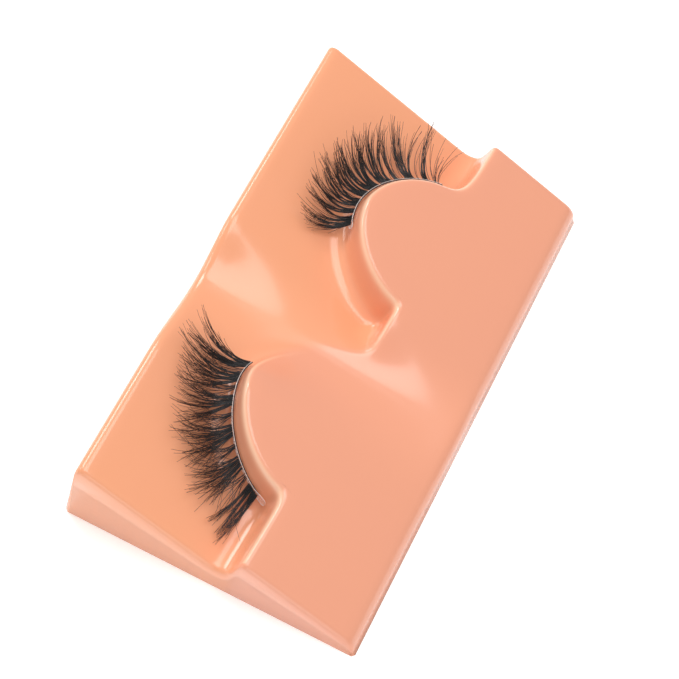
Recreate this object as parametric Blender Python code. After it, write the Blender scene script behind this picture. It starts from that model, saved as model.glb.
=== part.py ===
"""A pair of false eyelash strips on one station of a vacuum-formed lash tray.

The tray is a thin sheet with two shingled treads. The wall between them, the riser, bulges out
into two eyelid-shaped arches, and each arch carries one lash strip: a clear band glued to the
wall and a fringe of hair locks on a root thread, which spread over the lower tread.

X runs along the tray, Y across it and Z up. The origin is the middle of the tray's base.
"""

import math
from typing import NamedTuple

import bpy
from mathutils import Vector

# Tray, in metres
TRAY_LENGTH = 0.062
TRAY_WIDTH = 0.112
SHEET = 0.0006
SKIRT_DRAFT = 0.0006
STEP = 0.0096
TREAD_SLOPE = 0.42
LAND_SLOPE = 0.16
LAND_HEIGHT = 0.0087
RISER_X = 0.0070
RISER_SLANT = 0.04

# Where the step between the treads fades out, between the two rows
UPPER_FADE = (-0.005, 0.009)
LOWER_FADE = (-0.006, -0.026)

# Arches: middle and half length along the riser, how far each bulges, and its roundness
ARCHES = {
    "lower": {"middle": -0.0201, "half": 0.0180, "depth": 0.0173},
    "upper": {"middle": 0.0254, "half": 0.0151, "depth": 0.0158},
}
ARCH_ROUNDNESS = 1.8
ARCH_DEGREES = range(-89, 90)

# Riser wall: plan offset out of the crease, and share of the drop reached there
WALL_PROFILE = (
    (-0.0012, 0.00),
    (-0.0003, 0.03),
    (0.0003, 0.14),
    (0.0011, 0.50),
    (0.0019, 0.78),
    (0.0030, 0.90),
    (0.0042, 0.965),
    (0.0054, 1.00),
)

# Outer edges: inset and drop of each line as a share of the edge radius
EDGE_PROFILE = ((1.0, 0.0), (0.3, 0.3), (0.0, 1.0))
SIDE_RADIUS = 0.0011
LEFT_RADIUS = 0.0022
RIGHT_RADIUS = 0.0024
MOST_OF_SIDE = 0.45

# Columns of the tray mesh along the riser, and lines across each tread
STRAIGHT_COLUMNS = 3
ARCH_COLUMNS = 20
MIDDLE_COLUMNS = 6
TREAD_LINES = 3

# How far the arches' far corners are softened into the straight riser
SOFT_COLUMNS = 2
SOFT_PASSES = 4

# Lash strips
GAP = 0.0003
BAND_SEAT = 0.00045
BAND_THICKNESS = 0.0004
BAND_HEIGHT = 0.0009
BAND_COLUMNS = 22
LOCK_LINES = 7
JOINED_LINES = 2
LOCK_THICKNESS = 0.0009
TIP_THICKNESS = 0.0003
STRIPS = {
    "lower": {"start": -81, "fringe_start": -74, "end": 11, "drop": (0.62, 0.42)},
    "upper": {"start": -22, "fringe_start": -18, "end": 71, "drop": (0.45, 0.30)},
}

# How a lock falls from its root, rises to its tip, narrows and thins, as powers of its length
FALL = 2
RISE = 1.4
NARROWING = 1.5
THINNING = 0.8

# Width along X over which the ground under a hair passes from the lower tread to the upper one
MOUND_EDGE = 0.003


class Lock(NamedTuple):
    """One hair lock: its plan length, tip width, sweep of the tip in degrees, and tip lift."""

    length: float
    tip: float
    sweep: float
    lift: float


# The locks of each fringe, from the strip's start to its end
LOCKS = {
    "lower": (
        Lock(0.0124, 0.0010, -14, 0.0018),
        Lock(0.0112, 0.0006, -8, 0.0024),
        Lock(0.0086, 0.0005, -4, 0.0028),
        Lock(0.0098, 0.0005, -6, 0.0030),
        Lock(0.0108, 0.0006, -8, 0.0032),
        Lock(0.0100, 0.0005, -6, 0.0034),
        Lock(0.0114, 0.0006, -8, 0.0036),
        Lock(0.0122, 0.0006, -8, 0.0036),
        Lock(0.0112, 0.0005, -6, 0.0038),
        Lock(0.0124, 0.0006, -4, 0.0040),
        Lock(0.0128, 0.0006, -4, 0.0042),
        Lock(0.0118, 0.0005, 0, 0.0044),
        Lock(0.0126, 0.0006, 2, 0.0048),
        Lock(0.0130, 0.0006, 4, 0.0050),
        Lock(0.0120, 0.0005, 8, 0.0054),
        Lock(0.0122, 0.0005, 12, 0.0058),
        Lock(0.0112, 0.0005, 18, 0.0062),
        Lock(0.0104, 0.0004, 24, 0.0064),
    ),
    "upper": (
        Lock(0.0098, 0.0006, 4, 0.0036),
        Lock(0.0106, 0.0006, 6, 0.0044),
        Lock(0.0096, 0.0005, 8, 0.0048),
        Lock(0.0108, 0.0006, 8, 0.0052),
        Lock(0.0114, 0.0006, 6, 0.0056),
        Lock(0.0106, 0.0005, 6, 0.0060),
        Lock(0.0118, 0.0006, 4, 0.0064),
        Lock(0.0122, 0.0006, 4, 0.0066),
        Lock(0.0114, 0.0005, 2, 0.0068),
        Lock(0.0124, 0.0006, 2, 0.0070),
        Lock(0.0128, 0.0006, 0, 0.0070),
        Lock(0.0122, 0.0005, 0, 0.0070),
        Lock(0.0130, 0.0006, 0, 0.0068),
        Lock(0.0132, 0.0005, 2, 0.0066),
        Lock(0.0126, 0.0005, 4, 0.0064),
        Lock(0.0130, 0.0004, 6, 0.0062),
        Lock(0.0124, 0.0004, 8, 0.0060),
    ),
}

# Colour, roughness and alpha of each finish, and the angle from which an edge stays sharp
FINISHES = {
    "peach sheet": ((0.93, 0.43, 0.26, 1), 0.28, 1.0),
    "clear band": ((0.86, 0.84, 0.80, 1), 0.3, 0.6),
    "black hair": ((0.012, 0.012, 0.014, 1), 0.45, 1.0),
}
SHARP_ANGLE = math.radians(40)


def smooth(start, end, value):
    """Rise from 0 at start to 1 at end, level at both."""
    share = min(1, max(0, (value - start) / (end - start)))
    return share * share * (3 - 2 * share)


def riser_x(y):
    """Where the straight riser's crease lies."""
    return RISER_X + RISER_SLANT * y


def terrace(y):
    """How much of the full step and slope the treads have at this place across the tray."""
    return max(smooth(*UPPER_FADE, y), smooth(*LOWER_FADE, y))


def tread_height(x, y, side):
    """Height of the upper tread (side 1) or the lower one (side -1)."""
    share = terrace(y)
    slope = LAND_SLOPE + share * (TREAD_SLOPE - LAND_SLOPE)
    return LAND_HEIGHT + share * side * STEP / 2 - slope * (x - riser_x(y))


def wall_height(x, y, share):
    """Height between the treads, at a share of the drop from the upper one."""
    return (1 - share) * tread_height(x, y, 1) + share * tread_height(x, y, -1)


def wall_offset(share):
    """Plan offset out of the crease at which the riser wall has dropped by this share."""
    for (near, above), (far, below) in zip(WALL_PROFILE[1:], WALL_PROFILE[2:]):
        if share <= below:
            return near + (far - near) * (share - above) / (below - above)
    return WALL_PROFILE[-1][0]


def arch_point(arch, degrees, offset=0):
    """A plan point of an arch's crease, moved out by offset, and its outward direction."""
    angle = math.radians(degrees)
    power = 2 / ARCH_ROUNDNESS
    out = math.cos(angle) ** power
    along = math.copysign(abs(math.sin(angle)) ** power, angle)
    y = arch["middle"] + arch["half"] * along
    crease = Vector((riser_x(y) - arch["depth"] * out, y))
    slope = ARCH_ROUNDNESS - 1
    direction = Vector((
        -(out ** slope) / arch["depth"],
        math.copysign(abs(along) ** slope, along) / arch["half"],
    )).normalized()
    return crease + offset * direction, direction


def resampled(points, count):
    """count + 1 points at even distances along a line of plan points."""
    lengths = [0]
    for before, after in zip(points, points[1:]):
        lengths.append(lengths[-1] + (after - before).length)
    result, place = [], 0
    for step in range(count + 1):
        wanted = lengths[-1] * step / count
        while place < len(points) - 2 and lengths[place + 1] < wanted:
            place += 1
        stretch = max(lengths[place + 1] - lengths[place], 1e-9)
        result.append(points[place].lerp(points[place + 1], (wanted - lengths[place]) / stretch))
    return result


def arch_line(arch, offset):
    """The stretch of an arch's offset outline that lies outside the straight riser's offset."""
    outline = [arch_point(arch, degrees, offset)[0] for degrees in ARCH_DEGREES]
    kept = [point for point in outline if point.x < riser_x(point.y) - offset]
    ends = [Vector((riser_x(point.y) - offset, point.y)) for point in (kept[0], kept[-1])]
    return [ends[0], *kept, ends[1]]


def riser_line(offset):
    """Plan points of the whole riser at this offset, from the near edge to the far one."""
    inner = TRAY_WIDTH / 2 - SIDE_RADIUS
    edges = [Vector((riser_x(y) - offset, y)) for y in (-inner, inner)]
    lower, upper = (arch_line(ARCHES[name], offset) for name in ("lower", "upper"))
    stretches = (
        resampled([edges[0], lower[0]], STRAIGHT_COLUMNS),
        resampled(lower, ARCH_COLUMNS),
        resampled([lower[-1], upper[0]], MIDDLE_COLUMNS),
        resampled(upper, ARCH_COLUMNS),
        resampled([upper[-1], edges[1]], STRAIGHT_COLUMNS),
    )
    line = [point for stretch in stretches for point in stretch[:-1]] + [edges[1]]
    for corner in (STRAIGHT_COLUMNS + ARCH_COLUMNS, len(line) - 1 - STRAIGHT_COLUMNS):
        soft = range(corner - SOFT_COLUMNS, corner + SOFT_COLUMNS)
        for _ in range(SOFT_PASSES):
            line[soft.start:soft.stop] = [
                (line[i - 1] + 2 * line[i] + line[i + 1]) / 4 for i in soft
            ]
    return line


def tray_lines():
    """Each line of the tray's top, from the left end's foot to the right end's foot."""
    left, right = -TRAY_LENGTH / 2 + SKIRT_DRAFT, TRAY_LENGTH / 2 - SKIRT_DRAFT
    walls = {profile: riser_line(profile[0]) for profile in reversed(WALL_PROFILE)}
    foot, crown = walls[WALL_PROFILE[-1]], walls[WALL_PROFILE[0]]
    inner = TRAY_WIDTH / 2 - SIDE_RADIUS
    last = len(foot) - 1

    def tray_end(x, line):
        """Plan points at a tray end, midway between the riser's columns and even ones."""
        evens = (-inner + 2 * inner * column / last for column in range(last + 1))
        return [Vector((x, (even + point.y) / 2)) for point, even in zip(line, evens)]

    def across(x, line, share, side):
        """A line between a tray end and one side of the riser."""
        for end, point in zip(tray_end(x, line), line):
            place = end.lerp(point, share)
            yield place.x, place.y, tread_height(place.x, place.y, side)

    lines = [[(*end, 0) for end in tray_end(left - SKIRT_DRAFT, foot)]]
    for inset, drop in reversed(EDGE_PROFILE):
        rim = across(left + inset * LEFT_RADIUS, foot, 0, -1)
        lines.append([(x, y, z - drop * LEFT_RADIUS) for x, y, z in rim])
    for line in range(1, TREAD_LINES):
        lines.append(list(across(left + LEFT_RADIUS, foot, line / TREAD_LINES, -1)))
    for (_, share), wall in walls.items():
        lines.append([(p.x, p.y, wall_height(p.x, p.y, share)) for p in wall])
    for line in range(TREAD_LINES - 1, 0, -1):
        lines.append(list(across(right - RIGHT_RADIUS, crown, line / TREAD_LINES, 1)))
    for inset, drop in EDGE_PROFILE:
        rim = across(right - inset * RIGHT_RADIUS, crown, 0, 1)
        lines.append([(x, y, z - drop * RIGHT_RADIUS) for x, y, z in rim])
    lines.append([(*end, 0) for end in tray_end(right + SKIRT_DRAFT, crown)])
    return lines


def with_sides(line, is_foot):
    """The line, carried over both long edges of the tray and down to its base."""
    edge = TRAY_WIDTH / 2 - SKIRT_DRAFT
    result = list(line)
    for turn, place in ((-1, 0), (1, -1)):
        x, _, z = line[place]
        fall = min(SIDE_RADIUS, MOST_OF_SIDE * z)
        rim = [
            (x, turn * (edge - inset * SIDE_RADIUS), 0 if is_foot else z - drop * fall)
            for inset, drop in EDGE_PROFILE[1:]
        ]
        rim.append((x, turn * (edge + SKIRT_DRAFT), 0))
        result = list(reversed(rim)) + result if turn < 0 else result + rim
    return result


def new_material(name):
    """A plain material for one kind of sub-part."""
    colour, roughness, alpha = FINISHES[name]
    material = bpy.data.materials.new(name)
    material.use_nodes = True
    shader = material.node_tree.nodes["Principled BSDF"]
    shader.inputs["Base Color"].default_value = colour
    shader.inputs["Roughness"].default_value = roughness
    shader.inputs["Metallic"].default_value = 0.0
    shader.inputs["Alpha"].default_value = alpha
    return material


def new_object(name, points, faces, material):
    """An object of this mesh, in the scene."""
    mesh = bpy.data.meshes.new(name)
    mesh.from_pydata(points, [], faces)
    mesh.materials.append(material)
    mesh.shade_smooth()
    mesh.set_sharp_from_angle(angle=SHARP_ANGLE)
    made = bpy.data.objects.new(name, mesh)
    bpy.context.scene.collection.objects.link(made)
    return made


def grid_faces(rows, columns):
    """Quads of a grid whose points are listed row by row."""
    return [
        (r * columns + c, (r + 1) * columns + c, (r + 1) * columns + c + 1, r * columns + c + 1)
        for r in range(rows - 1)
        for c in range(columns - 1)
    ]


def build_tray():
    """The formed sheet: its top from the lines, its thickness below, its base rim flat."""
    lines = tray_lines()
    ends = (0, len(lines) - 1)
    grid = [with_sides(line, number in ends) for number, line in enumerate(lines)]
    points = [point for line in grid for point in line]
    faces = grid_faces(len(grid), len(grid[0]))
    tray = new_object("tray", points, faces, new_material("peach sheet"))
    sheet = tray.modifiers.new("sheet", "SOLIDIFY")
    sheet.thickness = SHEET
    sheet.offset = -1
    bpy.context.view_layer.update()
    graph = bpy.context.evaluated_depsgraph_get()
    formed = bpy.data.meshes.new_from_object(tray.evaluated_get(graph))
    tray.modifiers.clear()
    tray.data = formed
    for vertex in formed.vertices:
        if vertex.co.z < SHEET / 2:
            vertex.co.z = 0
    return tray


def strip_place(row, share_along, out):
    """A point of a strip at a share of its way along, out from the wall, and its direction."""
    arch, strip = ARCHES[row], STRIPS[row]
    degrees = strip["start"] + (strip["end"] - strip["start"]) * share_along
    drop = strip["drop"][0] + (strip["drop"][1] - strip["drop"][0]) * share_along
    wall, direction = arch_point(arch, degrees, wall_offset(drop))
    plan = wall + out * direction
    return Vector((plan.x, plan.y, wall_height(wall.x, wall.y, drop))), direction


def build_band(row, material):
    """The clear band, a thin upright ribbon along the arch's wall."""
    points = []
    for column in range(BAND_COLUMNS + 1):
        for out, up in ((0, -1), (1, -1), (1, 1), (0, 1)):
            place, _ = strip_place(row, column / BAND_COLUMNS, BAND_SEAT + out * BAND_THICKNESS)
            points.append((place.x, place.y, place.z + up * BAND_HEIGHT / 2))
    faces = [
        (4 * c + (side + 1) % 4, 4 * c + 4 + (side + 1) % 4, 4 * c + 4 + side, 4 * c + side)
        for c in range(BAND_COLUMNS)
        for side in range(4)
    ]
    last = 4 * BAND_COLUMNS
    faces += [(3, 2, 1, 0), (last, last + 1, last + 2, last + 3)]
    return new_object(f"{row}_band", points, faces, material)


def ground_height(x, y):
    """Height of whatever tread lies under a hair."""
    mound = smooth(riser_x(y) - MOUND_EDGE, riser_x(y), x)
    return wall_height(x, y, 1 - mound)


def lock_point(root, direction, lock, share, aside=0):
    """A point at a share of a lock's length, moved aside by a distance from its middle."""
    turn = math.radians(lock.sweep) * share
    heading = Vector((
        direction.x * math.cos(turn) + direction.y * math.sin(turn),
        direction.y * math.cos(turn) - direction.x * math.sin(turn),
    ))
    plan = root.xy + heading * lock.length * share + Vector((heading.y, -heading.x)) * aside
    above_root = root.z - ground_height(root.x, root.y)
    height = above_root * (1 - share) ** FALL + lock.lift * share ** RISE
    return Vector((plan.x, plan.y, ground_height(plan.x, plan.y) + height))


def fringe_grid(row):
    """Points, faces and thickness shares of a fringe, a sheet cut into locks past its roots."""
    locks, strip = LOCKS[row], STRIPS[row]
    span = strip["end"] - strip["start"]
    first = (strip["fringe_start"] - strip["start"]) / span
    pitch = (1 - first) / len(locks)
    out = BAND_SEAT + BAND_THICKNESS + GAP
    points, thick, numbers = [], [], {}

    def number_of(lock_number, side, line):
        """The index of a lock's point on its left (-1), middle (0) or right (1) at a line."""
        joined = side and line <= JOINED_LINES
        key = (lock_number + side / 2, line) if joined else (lock_number, side, line)
        if key not in numbers:
            numbers[key] = len(points)
            points.append(joined_point(*key) if joined else free_point(*key))
            tipward = (line / LOCK_LINES) ** THINNING
            thick.append(1 + (TIP_THICKNESS / LOCK_THICKNESS - 1) * tipward)
        return numbers[key]

    def joined_point(boundary, line):
        """A point between two locks, on the mean of their courses."""
        sides = math.floor(boundary), math.ceil(boundary)
        before, after = (locks[min(max(side, 0), len(locks) - 1)] for side in sides)
        mean = Lock(*((one + other) / 2 for one, other in zip(before, after)))
        root, direction = strip_place(row, first + pitch * (boundary + 0.5), out)
        return lock_point(root, direction, mean, line / LOCK_LINES)

    def free_point(lock_number, side, line):
        """A point of a lock by itself, narrowing to its tip."""
        middle = first + pitch * (lock_number + 0.5)
        root, direction = strip_place(row, middle, out)
        edge, _ = strip_place(row, middle + pitch / 2, out)
        lock = locks[lock_number]
        narrow = max(0, (line - JOINED_LINES) / (LOCK_LINES - JOINED_LINES)) ** NARROWING
        half = (1 - narrow) * (edge - root).length + narrow * lock.tip / 2
        return lock_point(root, direction, lock, line / LOCK_LINES, side * half)

    faces = [
        (
            number_of(lock_number, side, line),
            number_of(lock_number, side, line + 1),
            number_of(lock_number, side + 1, line + 1),
            number_of(lock_number, side + 1, line),
        )
        for lock_number in range(len(locks))
        for line in range(LOCK_LINES)
        for side in (-1, 0)
    ]
    return points, faces, thick


def build_fringe(row, material):
    """The root thread and its hair locks, joined at their roots and free at their tips."""
    points, faces, thick = fringe_grid(row)
    fringe = new_object(f"{row}_fringe", points, faces, material)
    weights = fringe.vertex_groups.new(name="thickness")
    for index, weight in enumerate(thick):
        weights.add([index], weight, "REPLACE")
    body = fringe.modifiers.new("hair depth", "SOLIDIFY")
    body.thickness = LOCK_THICKNESS
    body.offset = 0
    body.vertex_group = weights.name
    return fringe


def main():
    """Clear the scene and build the tray and both strips."""
    for old in list(bpy.data.objects):
        bpy.data.objects.remove(old, do_unlink=True)
    build_tray()
    band, hair = new_material("clear band"), new_material("black hair")
    for row in ("upper", "lower"):
        build_band(row, band)
        build_fringe(row, hair)


main()
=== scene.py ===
"""The looks of a pair of false eyelash strips on one station of a formed lash tray.

The tray is remade as a smooth glossy sheet from the rule that the solid follows. Each strip is a
clear band with knots, a black root thread, and hairs that Geometry Nodes grow from clump guides.
"""

import logging
import math
from collections.abc import Iterable
from dataclasses import dataclass, field
from enum import Enum

import bmesh
import bpy
import numpy as np
from mathutils import Matrix, Vector

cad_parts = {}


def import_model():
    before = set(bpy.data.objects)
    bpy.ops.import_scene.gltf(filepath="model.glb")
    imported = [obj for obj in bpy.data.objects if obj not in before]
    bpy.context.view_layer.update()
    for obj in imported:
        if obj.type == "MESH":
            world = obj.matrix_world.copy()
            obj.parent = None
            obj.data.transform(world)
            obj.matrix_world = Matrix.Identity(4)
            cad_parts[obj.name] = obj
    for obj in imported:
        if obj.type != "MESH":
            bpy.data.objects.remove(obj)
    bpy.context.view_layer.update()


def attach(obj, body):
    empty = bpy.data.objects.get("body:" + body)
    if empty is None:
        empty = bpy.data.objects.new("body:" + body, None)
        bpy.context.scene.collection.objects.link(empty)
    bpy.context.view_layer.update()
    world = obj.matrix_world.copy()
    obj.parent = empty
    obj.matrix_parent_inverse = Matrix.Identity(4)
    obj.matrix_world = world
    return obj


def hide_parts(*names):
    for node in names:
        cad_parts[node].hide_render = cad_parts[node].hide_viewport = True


LOG = logging.getLogger("lash_strips")
BODY = "root"

Node = bpy.types.Node
Socket = bpy.types.NodeSocket
Material = bpy.types.Material
Piece = bpy.types.Object
Colour = tuple[float, float, float, float]
Place = tuple[float, float, float]
Span = tuple[float, float]
SheetPoint = tuple[float, float, float, float, float]


class Row(Enum):
    """The two rows of the tray, by the name that their pieces start with."""

    LOWER = "lower"
    UPPER = "upper"


def smooth_step(start: float, end: float, value: float) -> float:
    """Rise from 0 at start to 1 at end, level at both."""
    share = min(1.0, max(0.0, (value - start) / (end - start)))
    return share * share * (3 - 2 * share)


def mixed(first: float, second: float, share: float) -> float:
    """The value a share of the way from first to second."""
    return first + (second - first) * share


def finished_mesh(name: str, mesh: bpy.types.Mesh, material: Material) -> Piece:
    """Put a mesh in the scene as a smooth piece that rides on the one body.

    Args:
        name: The piece's name.
        mesh: Its mesh, with its place in its points.
        material: Its finish.

    Returns:
        The new object.
    """
    mesh.name = name
    mesh.materials.clear()
    mesh.materials.append(material)
    mesh.shade_smooth()
    piece = bpy.data.objects.new(name, mesh)
    bpy.context.scene.collection.objects.link(piece)
    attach(piece, BODY)
    return piece


# Finishes


class NodeSheet:
    """A node tree that is filled in by short calls."""

    def __init__(self, tree: bpy.types.NodeTree) -> None:
        """Start on an empty tree."""
        self.tree = tree
        self.tree.nodes.clear()

    def add(self, kind: str, /, **settings: object) -> Node:
        """Add a node.

        Args:
            kind: Blender's name of the node's type.
            settings: The node's properties, by name.

        Returns:
            The new node.
        """
        node = self.tree.nodes.new(kind)
        for name, value in settings.items():
            setattr(node, name, value)
        return node

    def join(self, source: Socket, target: Socket) -> None:
        """Link two sockets."""
        self.tree.links.new(source, target)

    def math(self, operation: str, first: object, second: object = None, third: object = None,
             clamp: bool = False) -> Socket:
        """Add a Math node.

        Args:
            operation: Blender's name of the operation.
            first: A socket or a number.
            second: A socket or a number, where the operation takes one.
            third: A socket or a number, where the operation takes one.
            clamp: Whether the result is kept from 0 to 1.

        Returns:
            The node's output.
        """
        node = self.add("ShaderNodeMath", operation=operation, use_clamp=clamp)
        for place, value in enumerate((first, second, third)):
            self.feed(node.inputs[place], value)
        return node.outputs[0]

    def vector(self, operation: str, first: object, second: object = None,
               scale: object = None) -> Socket:
        """Add a Vector Math node.

        Args:
            operation: Blender's name of the operation.
            first: A socket or a triple.
            second: A socket or a triple, where the operation takes one.
            scale: A socket or a number, for the SCALE operation.

        Returns:
            The node's vector output, or its value for a dot product or a length.
        """
        node = self.add("ShaderNodeVectorMath", operation=operation)
        self.feed(node.inputs[0], first)
        if scale is None:
            self.feed(node.inputs[1], second)
        else:
            self.feed(node.inputs["Scale"], scale)
        single = operation in ("DOT_PRODUCT", "LENGTH", "DISTANCE")
        return node.outputs["Value" if single else "Vector"]

    def feed(self, target: Socket, value: object) -> None:
        """Link a socket to an input, or set the input to a plain value.

        Args:
            target: The input.
            value: A socket, a plain value, or None for no change.
        """
        if value is None:
            return
        if isinstance(value, Socket):
            self.join(value, target)
        else:
            target.default_value = value

    def fill(self, node: Node, values: dict[str, object]) -> None:
        """Feed a node's inputs by name."""
        for label, value in values.items():
            self.feed(node.inputs[label], value)

    def product(self, first: object, *others: object) -> Socket:
        """Multiply sockets and numbers, in this order.

        Args:
            first: A socket or a number.
            others: The factors after it.

        Returns:
            The product.
        """
        result = first
        for other in others:
            result = self.math("MULTIPLY", result, other)
        return result

    def attribute(self, name: str) -> Socket:
        """Read a number that the mesh carries, in a shader."""
        return self.add("ShaderNodeAttribute", attribute_name=name).outputs["Fac"]

    def noise(self, scale: float) -> Socket:
        """Add a shader's noise in the piece's own coordinates.

        Args:
            scale: Cells a metre.

        Returns:
            The noise.
        """
        node = self.add("ShaderNodeTexNoise")
        place = self.add("ShaderNodeTexCoord").outputs["Object"]
        self.fill(node, {"Vector": place, "Scale": scale})
        return node.outputs["Fac"]

    def shade(self, share: Socket, first: object, second: object) -> Socket:
        """Mix two colours, each a socket or a plain colour.

        Args:
            share: How far the mix is from first to second.
            first: The colour at 0.
            second: The colour at 1.

        Returns:
            The mixed colour.
        """
        node = self.add("ShaderNodeMix", data_type="RGBA")
        self.fill(node, {"Factor": share, "A": first, "B": second})
        return node.outputs["Result"]

    def bump(self, height: Socket, strength: float, distance: float) -> Socket:
        """Make normals that follow a height.

        Args:
            height: The height, from 0 to 1.
            strength: The share of it that the normals show.
            distance: Metres from height 0 to height 1.

        Returns:
            The normals.
        """
        node = self.add("ShaderNodeBump")
        self.fill(node, {"Strength": strength, "Distance": distance, "Height": height})
        return node.outputs["Normal"]


def new_shader(name: str) -> tuple[Material, NodeSheet, Node]:
    """A material with a Principled shader joined to its output.

    Args:
        name: The material's name.

    Returns:
        The material, its node sheet and its shader.
    """
    material = bpy.data.materials.new(name)
    material.use_nodes = True
    sheet = NodeSheet(material.node_tree)
    output = sheet.add("ShaderNodeOutputMaterial")
    shader = sheet.add("ShaderNodeBsdfPrincipled")
    sheet.join(shader.outputs[0], output.inputs[0])
    return material, sheet, shader


@dataclass(frozen=True)
class FormedSheet:
    """The tray's peach plastic: glossy, a little uneven, with a painted crease highlight."""

    body: Colour = (0.900, 0.385, 0.228, 1)
    # Painted light: the low treads and pocket floors are tinted warmer and brighter than the mound
    # tops.
    painted_pocket_warmth: Colour = (0.920, 0.385, 0.200, 1)
    crown: Colour = (0.870, 0.365, 0.232, 1)
    # Painted highlight: the pale colour of the line along the crease.
    crease: Colour = (1.0, 0.60, 0.40, 1)
    cloud_scale: float = 60
    cloud_share: float = 0.5
    roughness: float = 0.21
    smear_scale: float = 900
    smear: float = 0.08
    wave_scale: float = 140
    wave_height: float = 0.001
    ripple: float = 0.05
    ior: float = 1.5
    coat: float = 0.3
    coat_roughness: float = 0.12

    def build(self) -> Material:
        """Build the material.

        Returns:
            A material that reads the mesh attributes "crease" and "tread".
        """
        material, sheet, shader = new_shader("peach_formed_sheet")
        # Painted light: the tint runs from the low treads' warmer colour to the mound tops' by
        # height on the step.
        treads = sheet.shade(sheet.attribute("tread"), self.painted_pocket_warmth, self.crown)
        cloud = sheet.product(sheet.noise(self.cloud_scale), self.cloud_share)
        clouded = sheet.shade(cloud, treads, self.body)
        smear = sheet.noise(self.smear_scale)
        sheet.fill(shader, {
            # Painted highlight: a pale line is painted along the crease.
            "Base Color": sheet.shade(sheet.attribute("crease"), clouded, self.crease),
            "Roughness": sheet.math("MULTIPLY_ADD", smear, self.smear,
                                    self.roughness - self.smear / 2),
            "Normal": sheet.bump(sheet.noise(self.wave_scale), self.ripple, self.wave_height),
            "IOR": self.ior,
            "Coat Weight": self.coat,
            "Coat Roughness": self.coat_roughness,
        })
        return material


@dataclass(frozen=True)
class ClearBand:
    """The band's clear film, its top and bottom edges painted milky as the highlight along them."""

    colour: Colour = (0.95, 0.90, 0.86, 1)
    haze: Colour = (1.0, 0.98, 0.96, 1)
    haze_scale: float = 2200
    haze_strength: float = 0.2
    haze_height: float = 0.0001
    alpha: float = 0.12
    edge_alpha: float = 0.98
    roughness: float = 0.12
    ior: float = 1.5

    def build(self) -> Material:
        """Build the material.

        Returns:
            A clear glossy material that reads the mesh attribute "edge".
        """
        material, sheet, shader = new_shader("clear_band")
        haze = sheet.noise(self.haze_scale)
        sheet.fill(shader, {
            "Base Color": sheet.shade(haze, self.colour, self.haze),
            # Painted highlight: the film turns nearly opaque and whitish at its top and bottom
            # edges.
            "Alpha": sheet.math("MULTIPLY_ADD", sheet.attribute("edge"),
                                self.edge_alpha - self.alpha, self.alpha),
            "Normal": sheet.bump(haze, self.haze_strength, self.haze_height),
            "Roughness": self.roughness,
            "IOR": self.ior,
        })
        return material


@dataclass(frozen=True)
class LashHair:
    """Black fibre, browner at the thin tips, with a soft gloss along each hair."""

    root: Colour = (0.006, 0.006, 0.007, 1)
    tip: Colour = (0.024, 0.013, 0.010, 1)
    tip_power: float = 2.0
    roughness: float = 0.33
    grain_scale: float = 3000
    grain: float = 0.2
    gloss: float = 0.75

    def build(self) -> Material:
        """Build the material.

        Returns:
            A material that reads the mesh attribute "along", 0 at a hair's root and 1 at its tip.
        """
        material, sheet, shader = new_shader("lash_hair")
        tipward = sheet.math("POWER", sheet.attribute("along"), self.tip_power)
        grain = sheet.noise(self.grain_scale)
        sheet.fill(shader, {
            "Base Color": sheet.shade(tipward, self.root, self.tip),
            "Roughness": sheet.math("MULTIPLY_ADD", grain, self.grain,
                                    self.roughness - self.grain / 2),
            "Specular IOR Level": self.gloss,
        })
        return material


@dataclass(frozen=True)
class RootThread:
    """The black thread that the hairs are knotted on, with paler fibres along it."""

    colour: Colour = (0.008, 0.008, 0.009, 1)
    fibre: Colour = (0.03, 0.028, 0.028, 1)
    fibre_scale: float = 2600
    fibre_strength: float = 0.4
    fibre_height: float = 0.0001
    roughness: float = 0.5

    def build(self) -> Material:
        """Build the material.

        Returns:
            A dark fibrous material.
        """
        material, sheet, shader = new_shader("root_thread")
        fibre = sheet.noise(self.fibre_scale)
        sheet.fill(shader, {
            "Base Color": sheet.shade(fibre, self.colour, self.fibre),
            "Normal": sheet.bump(fibre, self.fibre_strength, self.fibre_height),
            "Roughness": self.roughness,
        })
        return material


# The tray


@dataclass(frozen=True)
class Arch:
    """An eyelid-shaped bulge of the riser: its middle and half length across, and its depth."""

    middle: float
    half: float
    depth: float
    roundness: float = 1.8


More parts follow.
